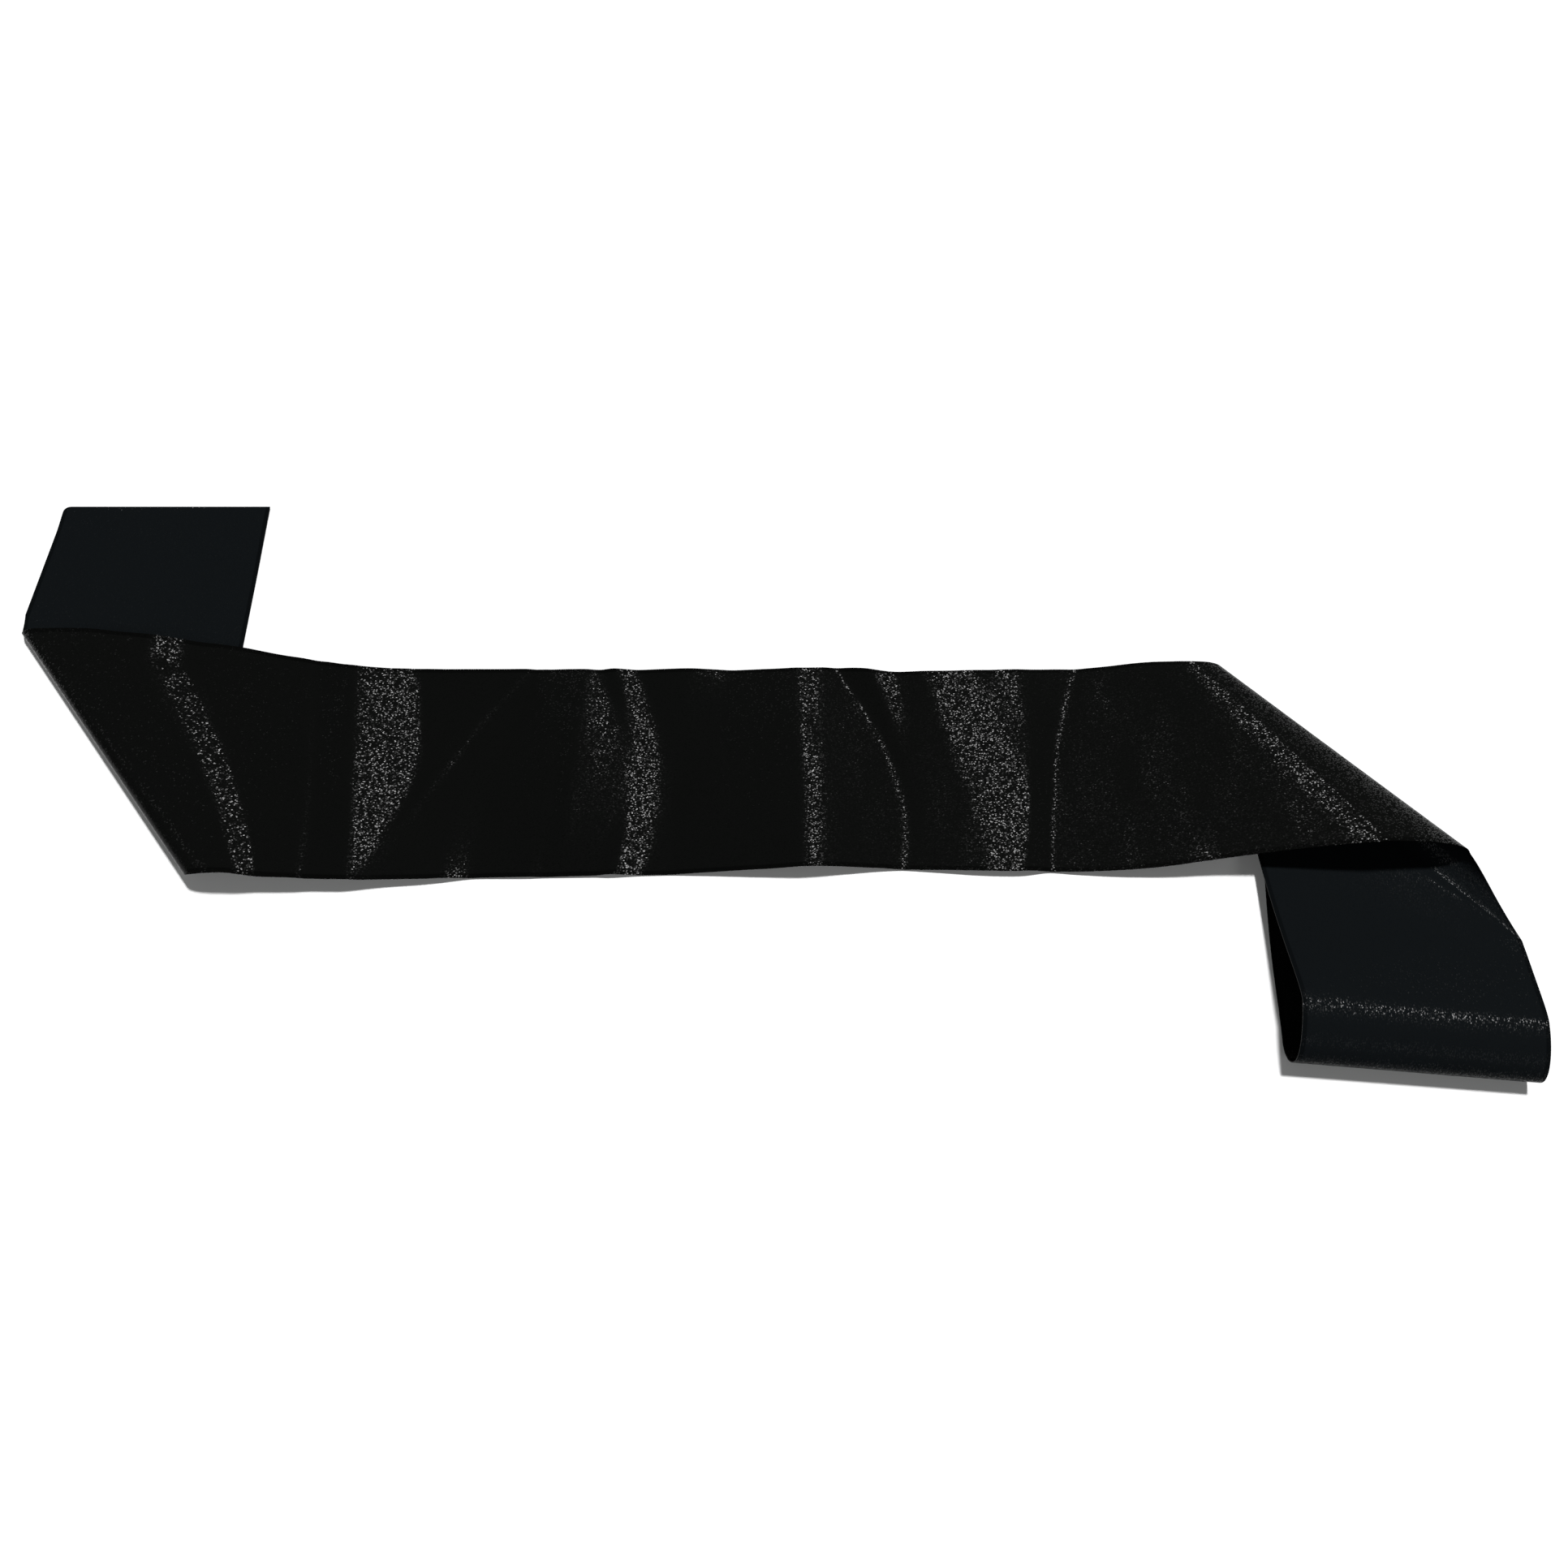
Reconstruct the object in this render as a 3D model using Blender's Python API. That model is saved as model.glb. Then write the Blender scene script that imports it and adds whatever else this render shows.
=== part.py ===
"""A wide black satin sash, laid on a table in a long flat Z.

The sash is one ribbon. Its middle lies left to right as the band. At each end the
band turns under itself on a diagonal and runs on as a tail: the far tail goes away
from the viewer, the near tail comes towards the viewer. The near tail rises into a
soft loop, rolls over at its end and comes back beneath itself along the table.

Frame: metres, +Z up, +X along the band, +Y away from the viewer. The origin is the
middle of the sash's footprint, on the table. Tables and layout sizes are written in
millimetres from a layout point near the middle of the band, and LAYOUT_SHIFT moves
them into the frame.

How the surface is made: every section of the ribbon is a straight line from its outer
edge to its inner edge, in this order along the ribbon: far tail, far fold, band, near
fold, near tail, end roll, under tail. The outer edge is the far edge of the band and
the left edge of both tails. Each stretch of the ribbon is then cut out as its own wall.
"""

from collections import namedtuple

import bpy
import numpy as np

MM = 0.001

# The ribbon
RIBBON_WIDTH = 100.0
CLOTH_WALL = 1.2
SEAM_GAP = 0.3
REST_HEIGHT = CLOTH_WALL / 2
LAYOUT_SHIFT = (27.95, -9.4)

# The far tail, which lies flat on the table but for the lift of its end
FAR_TAIL_LEFT = -350.6
FAR_TAIL_END = 149.8
FAR_TAIL_END_LIFT = 0.8
FAR_TAIL_LIFT_SHARE = 0.25

# The near tail's loop: how far its middle sags, and how much sooner its outer edge climbs
LOOP_SAG = 3.0
LOOP_OUTER_LEAD = 1.12

# The under tail: the corners of its hidden end, and how far its outer edge bows out
UNDER_TAIL_OUTER_CORNER = (198.0, -22.0)
UNDER_TAIL_INNER_CORNER = (292.0, -52.0)
UNDER_TAIL_BOW = 3.6

# A half turn of the ribbon under itself. For each edge of the ribbon: how far it reaches
# past its crest, how far it comes back under, the height of its foot, and how far it
# travels along the turn's line on the way down and on the way back, as shares of the way
# round. The lines' directions are in degrees from +X, with the turn on their left.
Turn = namedtuple("Turn", "reach back foot travel_out travel_back")
FAR_FOLD_LINE = 130.8
FAR_FOLD_OUTER_X = -341.5
FAR_FOLD_INNER_X = -229.5
FAR_FOLD_OUTER = Turn(5.0, 5.0, REST_HEIGHT, 0.86, 0.86)
FAR_FOLD_INNER = Turn(12.0, 13.0, REST_HEIGHT, 0.86, 0.80)
NEAR_FOLD_LINE = -48.0
NEAR_FOLD_OUTER_X = 184.0
NEAR_FOLD_INNER_X = 242.0
NEAR_FOLD_OUTER = Turn(9.0, 9.0, REST_HEIGHT, 0.90, 0.90)
NEAR_FOLD_INNER = Turn(26.0, 11.0, 9.5, 0.90, 2.45)
END_ROLL_LINE = 172.6
END_ROLL_OUTER_CREST = (198.0, -101.0, 20.5)
END_ROLL_INNER_CREST = (290.8, -110.0, 18.5)
END_ROLL_OUTER = Turn(22.0, 12.0, REST_HEIGHT, 0.02, 0.02)
END_ROLL_INNER = Turn(20.5, 10.0, REST_HEIGHT, 0.02, 0.02)

# The edges of the band, from its left end to its right: where each station is, and
# where each edge lies there and how high its middle layer is
BandStation = namedtuple("BandStation", "x far_y far_z near_y near_z")
BAND = (
    BandStation(-342, 73.2, 9.5, -46.4, 15.0),
    BandStation(-300, 71.8, 10.2, -46.4, 15.0),
    BandStation(-270, 69.0, 8.6, -46.4, 15.0),
    BandStation(-246, 66.0, 6.0, -46.4, 15.0),
    BandStation(-229, 63.4, 4.2, -46.6, 14.6),
    BandStation(-207, 60.2, 2.6, -47.0, 9.6),
    BandStation(-181, 57.6, 1.4, -46.6, 4.0),
    BandStation(-150, 56.6, 0.6, -45.2, 1.6),
    BandStation(-110, 56.2, 0.6, -43.8, 0.6),
    BandStation(-62, 56.4, 0.6, -43.2, 0.6),
    BandStation(-34, 56.8, 1.2, -42.6, 2.2),
    BandStation(8, 57.2, 3.0, -41.6, 8.4),
    BandStation(46, 56.4, 1.4, -42.2, 5.0),
    BandStation(84, 56.0, 0.6, -41.8, 2.0),
    BandStation(124, 56.4, 1.0, -41.6, 1.2),
    BandStation(144, 57.0, 3.2, -41.8, 3.4),
    BandStation(163, 57.2, 7.4, -42.2, 10.6),
    BandStation(184, 56.0, 10.0, -41.6, 17.6),
    BandStation(212, 56.0, 10.0, -39.6, 22.6),
    BandStation(242, 56.0, 10.0, -37.6, 26.0),
)

# Ridges across the band: where each meets the far and near edge, its height there,
# and half its width. They run from one straight line to another
RIDGE_FAR_Y = 56.0
RIDGE_NEAR_Y = -44.0
Ridge = namedtuple("Ridge", "far_x near_x far_height near_height half_width")
RIDGES = (
    Ridge(-178, -186, 1.3, 1.0, 13.0),
    Ridge(-110, -158, 0.9, 1.2, 9.0),
    Ridge(-66, -58, 1.4, 1.4, 9.0),
    Ridge(-92, -96, 0.9, 0.5, 8.0),
    Ridge(58, 70, 1.3, 0.4, 9.0),
    Ridge(78, 106, 1.8, 1.4, 12.0),
)

# How finely each stretch is divided along the ribbon, and all of them across it
SECTIONS = {
    "far_tail": 22,
    "far_fold": 16,
    "middle_band": 92,
    "near_fold": 20,
    "near_tail": 26,
    "end_roll": 16,
    "under_tail": 14,
}
ACROSS = 12
BAND_FAN = 90.0

SATIN = {"colour": (0.009, 0.0095, 0.0105, 1.0), "roughness": 0.42, "metallic": 0.0}
REVERSE = {"colour": (0.011, 0.0125, 0.014, 1.0), "roughness": 0.62, "metallic": 0.0}


def eased(t):
    """Rises from 0 to 1 with a level start and end."""
    t = np.clip(t, 0.0, 1.0)
    return t * t * (3 - 2 * t)


def through(x, stations, values):
    """A smooth curve through a table's values, read at x."""
    stations, values = np.array(stations, float), np.array(values, float)
    slopes = np.gradient(values, stations)
    slopes[0] = slopes[-1] = 0.0
    x = np.clip(x, stations[0], stations[-1])
    i = np.clip(np.searchsorted(stations, x) - 1, 0, len(stations) - 2)
    span = stations[i + 1] - stations[i]
    t = (x - stations[i]) / span
    rise = eased(t)
    start = t * (1 - t) ** 2 * span * slopes[i]
    end = t**2 * (t - 1) * span * slopes[i + 1]
    return values[i] * (1 - rise) + values[i + 1] * rise + start + end


def band_edge(x, side):
    """The band's far or near edge at each x, as x, y, z, and never below the table."""
    stations = [row.x for row in BAND]
    y = through(x, stations, [getattr(row, side + "_y") for row in BAND])
    z = through(x, stations, [getattr(row, side + "_z") for row in BAND])
    return np.stack([x, y, np.maximum(z, REST_HEIGHT)], axis=-1)


def turned_edge(crest, turn, line, count):
    """One edge of the ribbon round a half turn: down a quarter ellipse and back under."""
    angle = np.radians(line)
    along = np.array([np.cos(angle), np.sin(angle)])
    out = np.array([-along[1], along[0]])
    fall = (crest[2] - turn.foot) / 2
    a = np.linspace(0, np.pi, count + 1)
    upper = a <= np.pi / 2 + 1e-9
    reach = np.where(upper, turn.reach, turn.back)
    outward = turn.reach - np.where(upper, turn.reach, turn.back) * (1 - np.sin(a))
    step = np.sqrt((reach * np.cos(a)) ** 2 + (fall * np.sin(a)) ** 2)
    way = np.where(upper, turn.travel_out, turn.travel_back) * step
    travel = np.concatenate([[0], np.cumsum((way[1:] + way[:-1]) / 2 * np.diff(a))])
    plan = np.asarray(crest)[:2] + outward[:, None] * out + travel[:, None] * along
    return np.column_stack([plan, turn.foot + fall * (1 + np.cos(a))])


def half_turn(crests, turns, line, count):
    """Both edges round a half turn, from crest to foot, as sections of the ribbon."""
    edges = [turned_edge(crest, turn, line, count) for crest, turn in zip(crests, turns)]
    return np.stack(edges, axis=1)


def far_tail_sections(fold_foot, count):
    """From the cut end to the foot of the far fold, fanning out under the band."""
    t = np.linspace(0, 1, count + 1)[:, None]
    left = np.array([FAR_TAIL_LEFT, FAR_TAIL_END, REST_HEIGHT])
    right = left + np.array([RIBBON_WIDTH, 0.0, 0.0])
    ends = np.stack([left, right])
    sections = ends[None] * (1 - t[..., None]) + fold_foot[None] * t[..., None]
    sections[..., 2] = REST_HEIGHT + FAR_TAIL_END_LIFT * (1 - eased(t / FAR_TAIL_LIFT_SHARE))
    return sections


def band_sections(count):
    """From the crest of the far fold to the crest of the near fold."""
    first = (FAR_FOLD_OUTER_X + FAR_FOLD_INNER_X) / 2
    last = (NEAR_FOLD_OUTER_X + NEAR_FOLD_INNER_X) / 2
    middle = np.linspace(first, last, count + 1)
    slant_first = (FAR_FOLD_INNER_X - FAR_FOLD_OUTER_X) / 2
    slant_last = (NEAR_FOLD_INNER_X - NEAR_FOLD_OUTER_X) / 2
    slant = slant_first * (1 - eased((middle - first) / BAND_FAN))
    slant = slant + slant_last * eased((middle - last + BAND_FAN) / BAND_FAN)
    return np.stack([band_edge(middle - slant, "far"), band_edge(middle + slant, "near")], axis=1)


def near_tail_sections(fold_foot, roll_crest, count):
    """From the foot of the near fold up over the loop to the crest of the end roll."""
    t = np.linspace(0, 1, count + 1)[:, None, None]
    sections = fold_foot[None] * (1 - t) + roll_crest[None] * t
    rise = eased(t[..., 0] * np.array([LOOP_OUTER_LEAD, 1.0]))
    sections[..., 2] = fold_foot[:, 2] * (1 - rise) + roll_crest[:, 2] * rise
    return sections


def under_tail_sections(roll_foot, count):
    """From the foot of the end roll back along the table to the hidden end."""
    t = np.linspace(0, 1, count + 1)[:, None, None]
    corners = np.array([UNDER_TAIL_OUTER_CORNER, UNDER_TAIL_INNER_CORNER])
    end = np.column_stack([corners, [REST_HEIGHT, REST_HEIGHT]])
    sections = roll_foot[None] * (1 - t) + end[None] * t
    bow = UNDER_TAIL_BOW * np.sin(np.pi * t[:, 0, 0]) ** 2 * (1 - t[:, 0, 0])
    sections[:, 0, 0] -= bow
    return sections


def raised(points):
    """The height that the ridges add at each point of the band."""
    x, y = points[..., 0], points[..., 1]
    share = np.clip((y - RIDGE_NEAR_Y) / (RIDGE_FAR_Y - RIDGE_NEAR_Y), 0.0, 1.0)
    height = np.zeros_like(x)
    for ridge in RIDGES:
        spine = ridge.near_x + (ridge.far_x - ridge.near_x) * share
        top = ridge.near_height + (ridge.far_height - ridge.near_height) * share
        height = np.maximum(height, top * eased(1 - np.abs(x - spine) / ridge.half_width))
    return height


def ribbon():
    """The middle layer of the whole ribbon, and where each stretch starts along it."""
    band = band_sections(SECTIONS["middle_band"])
    far_turns, near_turns = (FAR_FOLD_OUTER, FAR_FOLD_INNER), (NEAR_FOLD_OUTER, NEAR_FOLD_INNER)
    far_fold = half_turn(band[0], far_turns, FAR_FOLD_LINE, SECTIONS["far_fold"])
    near_fold = half_turn(band[-1], near_turns, NEAR_FOLD_LINE, SECTIONS["near_fold"])
    roll_crests = (END_ROLL_OUTER_CREST, END_ROLL_INNER_CREST)
    roll_turns = (END_ROLL_OUTER, END_ROLL_INNER)
    end_roll = half_turn(roll_crests, roll_turns, END_ROLL_LINE, SECTIONS["end_roll"])
    stretches = {
        "far_tail": far_tail_sections(far_fold[-1], SECTIONS["far_tail"]),
        "far_fold": far_fold[::-1],
        "middle_band": band,
        "near_fold": near_fold,
        "near_tail": near_tail_sections(near_fold[-1], end_roll[0], SECTIONS["near_tail"]),
        "end_roll": end_roll,
        "under_tail": under_tail_sections(end_roll[-1], SECTIONS["under_tail"]),
    }
    across = np.linspace(0, 1, ACROSS + 1)[None, :, None]
    grids, starts, at = [], {}, 0
    for name, sections in stretches.items():
        grid = sections[:, :1] * (1 - across) + sections[:, 1:] * across
        if name == "middle_band":
            grid[..., 2] += raised(grid)
        if name == "near_tail":
            along = np.linspace(0, 1, len(grid))[:, None]
            grid[..., 2] -= LOOP_SAG * np.sin(np.pi * along) ** 2 * np.sin(np.pi * across[..., 0])
        starts[name] = (at, at + len(grid) - 1)
        at += len(grid) - 1
        grids.append(grid[:-1] if name != "under_tail" else grid)
    return np.concatenate(grids), starts


def normals_of(grid):
    """The unit normal at each point, on the side that faces up along the band."""
    along, across = np.gradient(grid, axis=0), np.gradient(grid, axis=1)
    normal = np.cross(across, along)
    return normal / np.linalg.norm(normal, axis=-1, keepdims=True)


def parted(grid, normal, first, last):
    """The stretch from one section to another, held back from its neighbours by half a seam."""
    points, sides = grid[first : last + 1].copy(), normal[first : last + 1].copy()
    for end, inward in ((0, 1), (-1, -2)):
        step = points[inward] - points[end]
        length = np.linalg.norm(step, axis=-1, keepdims=True)
        points[end] += step / length * np.minimum(SEAM_GAP / 2, length / 3)
    return points, sides


def wall(name, points, sides, finish):
    """A closed wall of cloth round a stretch's middle layer."""
    rows, columns = points.shape[:2]
    upper = points + sides * CLOTH_WALL / 2
    lower = points - sides * CLOTH_WALL / 2
    vertices = np.concatenate([upper.reshape(-1, 3), lower.reshape(-1, 3)])
    vertices[:, :2] += LAYOUT_SHIFT
    index = np.arange(rows * columns).reshape(rows, columns)
    below = index + rows * columns
    top = np.stack([index[:-1, :-1], index[:-1, 1:], index[1:, 1:], index[1:, :-1]], axis=-1)
    bottom = np.stack([below[:-1, :-1], below[1:, :-1], below[1:, 1:], below[:-1, 1:]], axis=-1)
    faces = [top.reshape(-1, 4), bottom.reshape(-1, 4)]
    rims = ((index[0], below[0]), (index[-1][::-1], below[-1][::-1]))
    rims += ((index[::-1, 0], below[::-1, 0]), (index[:, -1], below[:, -1]))
    for up, down in rims:
        faces.append(np.stack([up[:-1], down[:-1], down[1:], up[1:]], axis=-1))
    mesh = bpy.data.meshes.new(name)
    mesh.from_pydata((vertices * MM).tolist(), [], np.concatenate(faces).tolist())
    mesh.shade_smooth()
    mesh.set_sharp_from_angle(angle=np.radians(40))
    mesh.materials.append(finish)
    made = bpy.data.objects.new(name, mesh)
    bpy.context.collection.objects.link(made)
    return made


def material(name, looks):
    """A plain cloth material."""
    made = bpy.data.materials.new(name)
    made.use_nodes = True
    shader = made.node_tree.nodes["Principled BSDF"]
    shader.inputs["Base Color"].default_value = looks["colour"]
    shader.inputs["Roughness"].default_value = looks["roughness"]
    shader.inputs["Metallic"].default_value = looks["metallic"]
    return made


def main():
    for old in list(bpy.data.objects):
        bpy.data.objects.remove(old)
    satin, reverse = material("satin_face", SATIN), material("satin_reverse", REVERSE)
    grid, starts = ribbon()
    normal = normals_of(grid)
    for name, (first, last) in starts.items():
        points, sides = parted(grid, normal, first, last)
        face = satin if name in ("far_fold", "middle_band", "near_fold") else reverse
        wall(name, points, sides, face)


main()
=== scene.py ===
"""The looks of a wide black satin sash, laid on a pale table in a long flat Z.

The sash is one ribbon, and the scene makes it as one thin closed shell on a fine grid. The grid's
rows are sections straight across the ribbon from its outer edge to its inner edge, and its columns
run along it: far tail, far fold, band, near fold, near tail, end roll, under tail. The outer edge
is the far edge of the band and the left edge of both tails. One side of the shell is the glossy
face, which shows on the band and the folds, and the other is the duller reverse, which shows on
both tails.

Shape tables are in millimetres from the layout point near the middle of the band, as in the
solids, and are moved into the row frame when the mesh is made.
"""

from __future__ import annotations

import logging
from dataclasses import dataclass
from enum import Enum
from typing import Any, NamedTuple, Sequence

import bpy
import numpy as np
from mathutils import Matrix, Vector


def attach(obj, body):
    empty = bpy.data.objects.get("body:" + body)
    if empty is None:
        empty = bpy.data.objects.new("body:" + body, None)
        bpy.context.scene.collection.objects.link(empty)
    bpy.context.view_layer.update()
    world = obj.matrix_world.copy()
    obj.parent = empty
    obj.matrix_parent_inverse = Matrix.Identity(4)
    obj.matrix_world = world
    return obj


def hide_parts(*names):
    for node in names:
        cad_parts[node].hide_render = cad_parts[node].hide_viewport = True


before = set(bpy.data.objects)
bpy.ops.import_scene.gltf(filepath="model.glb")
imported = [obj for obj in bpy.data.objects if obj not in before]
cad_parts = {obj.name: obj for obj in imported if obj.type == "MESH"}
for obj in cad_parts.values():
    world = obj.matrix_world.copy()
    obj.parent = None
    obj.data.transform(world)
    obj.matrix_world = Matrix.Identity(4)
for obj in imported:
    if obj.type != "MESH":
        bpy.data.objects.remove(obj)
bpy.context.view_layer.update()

LOG = logging.getLogger("sash")
MM = 0.001
Array = np.ndarray

# What brings the peak of t (1 - t) squared to 1
DIP_SCALE = 27 / 4


class Side(Enum):
    """The two sides of the cloth, with the number of each one's material on the mesh."""

    FACE = 0
    REVERSE = 1


class Edge(Enum):
    """The band's two edges, as the first word of their columns in the tables."""

    FAR = "far"
    NEAR = "near"


class Stretch(Enum):
    """The stretches of the ribbon, in the order in which they follow each other."""

    FAR_TAIL = "far tail"
    FAR_FOLD = "far fold"
    BAND = "band"
    NEAR_FOLD = "near fold"
    NEAR_TAIL = "near tail"
    END_ROLL = "end roll"
    UNDER_TAIL = "under tail"


class Point3(NamedTuple):
    """A place in the layout, in millimetres."""

    x: float
    y: float
    z: float


class BandEdge(NamedTuple):
    """Where the band's two edges lie in plan at one place along it, in millimetres."""

    x: float
    far_y: float
    near_y: float


class Turn(NamedTuple):
    """One edge of the ribbon round a half turn under itself.

    reach is how far it goes past its crest, back how far it comes back under, foot the height of
    its foot, and the travels how far it moves along the turn's line, as shares of the way round.
    """

    reach: float
    back: float
    foot: float
    travel_out: float
    travel_back: float


class FoldLine(NamedTuple):
    """A line across the band along which its slope changes, in millimetres.

    It runs from the far edge through the middle of the band to the near edge, and each x has the
    height of the cloth there. Between two fold lines the cloth slopes evenly.
    """

    far_x: float
    far_z: float
    middle_x: float
    middle_z: float
    near_x: float
    near_z: float


class TailCrease(NamedTuple):
    """A straight crease on the near tail: a low ridge with a shallow trough on its nearer side."""

    start_x: float
    start_y: float
    end_x: float
    end_y: float
    ridge: float
    ridge_width: float
    trough: float
    trough_width: float


class Wave(NamedTuple):
    """One of the long low waves of the cloth's unevenness."""

    length_x: float
    length_y: float
    phase: float
    height: float


def column(rows: Sequence[Any], name: str) -> list[float]:
    """One named column of a table, from its first row to its last."""
    return [getattr(row, name) for row in rows]


def eased(t: Array) -> Array:
    """Rises from 0 to 1 with a level start and end: 3 t squared less 2 t cubed.

    Args:
        t: how far along, from 0 to 1.

    Returns:
        The eased share.
    """
    t = np.clip(t, 0.0, 1.0)
    return t * t * (3 - 2 * t)


def through(x: Array, stations: Sequence[float], values: Sequence[float]) -> Array:
    """A smooth curve through a table, as one cubic for each pair of neighbouring stations.

    Args:
        x: where to read the curve.
        stations: where the table's values lie.
        values: the table's values.

    Returns:
        The curve at x, level at both ends.
    """
    at, value = np.array(stations, float), np.array(values, float)
    slopes = np.gradient(value, at)
    slopes[0] = slopes[-1] = 0.0
    x = np.clip(x, at[0], at[-1])
    i = np.clip(np.searchsorted(at, x) - 1, 0, len(at) - 2)
    span = at[i + 1] - at[i]
    t = (x - at[i]) / span
    rise = eased(t)
    start = t * (1 - t) ** 2 * span * slopes[i]
    end = t**2 * (t - 1) * span * slopes[i + 1]
    return value[i] * (1 - rise) + value[i + 1] * rise + start + end


# The band's outline in plan, from the far fold to the near fold
BAND_EDGES = (
    BandEdge(-342, 74.0, -46.4),
    BandEdge(-315, 73.2, -46.4),
    BandEdge(-289, 69.9, -46.2),
    BandEdge(-272, 70.4, -46.0),
    BandEdge(-260, 69.0, -46.0),
    BandEdge(-246, 66.5, -46.0),
    BandEdge(-229, 62.3, -46.9),
    BandEdge(-214, 59.4, -47.4),
    BandEdge(-207, 58.3, -47.5),
    BandEdge(-194, 55.3, -47.5),
    BandEdge(-181, 55.8, -47.6),
    BandEdge(-165, 57.7, -46.5),
    BandEdge(-150, 57.4, -45.7),
    BandEdge(-130, 57.2, -44.1),
    BandEdge(-110, 57.2, -43.8),
    BandEdge(-85, 56.9, -43.3),
    BandEdge(-62, 57.2, -42.8),
    BandEdge(-34, 57.1, -42.2),
    BandEdge(8, 56.9, -41.6),
    BandEdge(26, 57.9, -40.8),
    BandEdge(46, 55.0, -40.2),
    BandEdge(65, 54.7, -40.9),
    BandEdge(84, 55.2, -41.8),
    BandEdge(98, 56.0, -42.0),
    BandEdge(110, 56.3, -41.3),
    BandEdge(124, 57.1, -41.8),
    BandEdge(144, 57.5, -42.0),
    BandEdge(163, 57.8, -41.2),
    BandEdge(175, 56.8, -40.1),
    BandEdge(184, 56.1, -39.4),
    BandEdge(212, 56.0, -38.1),
    BandEdge(242, 56.0, -37.8),
)

# Left to right: the far fold's crest, a steep fall beside it, a broad fall, a low ridge, a hump
# with a keen left edge, the arch, a low flat top, and the rise to the near fold's crest
FOLD_LINES = (
    FoldLine(-341.5, 9.5, -285.5, 12.05, -229.5, 14.6),
    FoldLine(-288, 11.8, -252, 13.6, -226, 14.8),
    FoldLine(-269, 4.0, -237.5, 7.8, -216.5, 11.4),
    FoldLine(-214, 7.0, -205, 8.8, -200, 10.2),
    FoldLine(-211, 5.5, -202, 7.3, -197, 9.1),
    FoldLine(-194, 8.6, -187, 9.3, -181, 8.9),
    FoldLine(-166, 0.8, -158, 0.9, -175, 7.1),
    FoldLine(-115.5, 1.8, -148.5, 2.1, -173, 6.9),
    FoldLine(-113, 0.85, -146, 0.95, -171, 6.4),
    FoldLine(-112, 0.85, -134, 0.85, -142, 3.8),
    FoldLine(-111, 0.85, -125, 0.8, -131, 1.0),
    FoldLine(-109, 1.4, -100, 4.9, -105, 1.6),
    FoldLine(-107, 0.9, -98.5, 4.3, -103, 1.0),
    FoldLine(-90, 2.3, -93, 6.4, -95, 1.2),
    FoldLine(-83, 1.1, -69, 3.5, -78, 1.4),
    FoldLine(-78, 2.9, -66, 3.05, -74, 3.2),
    FoldLine(-66.5, 0.8, -53.5, 0.85, -60, 0.85),
    FoldLine(-41, 2.4, -46, 0.8, -47, 0.8),
    FoldLine(-24, 0.8, -26, 3.3, -26, 3.6),
    FoldLine(5, 3.6, 7, 7.6, 8, 8.3),
    FoldLine(17.5, 2.4, 16.5, 6.7, 16, 7.5),
    FoldLine(24, 0.8, 48, 0.9, 50, 0.8),
    FoldLine(37, 3.9, 52, 1.5, 54, 1.5),
    FoldLine(50.5, 3.25, 56, 1.9, 62, 2.1),
    FoldLine(62, 4.4, 75, 3.7, 88, 4.1),
    FoldLine(84, 3.95, 97, 3.6, 93, 4.05),
    FoldLine(93, 3.1, 106, 3.6, 98, 4.05),
    FoldLine(104, 3.1, 108, 3.6, 101, 4.05),
    FoldLine(132, 0.9, 117, 0.9, 111, 0.9),
    FoldLine(148, 3.6, 145, 4.9, 150, 6.3),
    FoldLine(161, 6.1, 170, 9.5, 180, 11.8),
    FoldLine(168, 7.6, 189, 13.5, 209, 18.0),
    FoldLine(178, 9.6, 205, 17.0, 235, 24.5),
    FoldLine(183.4, 10.15, 214.6, 18.38, 245.8, 26.6),
)

# Long low waves that keep the even slopes from looking ruled
UNEVENNESS = (
    Wave(47, 210, 0.4, 0.06),
    Wave(31, -95, 2.1, 0.05),
    Wave(23, 61, 4.0, 0.03),
    Wave(-17, 44, 1.2, 0.02),
    Wave(71, 52, 5.2, 0.06),
    Wave(13, 150, 3.3, 0.01),
)

TAIL_CREASES = (
    TailCrease(262.0, -43.0, 296.0, -73.0, 0.16, 1.2, 0.12, 12.0),
)

# How many steps each stretch takes along the ribbon
STEPS = {
    Stretch.FAR_TAIL: 46,
    Stretch.FAR_FOLD: 34,
    Stretch.BAND: 330,
    Stretch.NEAR_FOLD: 50,
    Stretch.NEAR_TAIL: 46,
    Stretch.END_ROLL: 36,
    Stretch.UNDER_TAIL: 16,
}


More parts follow.
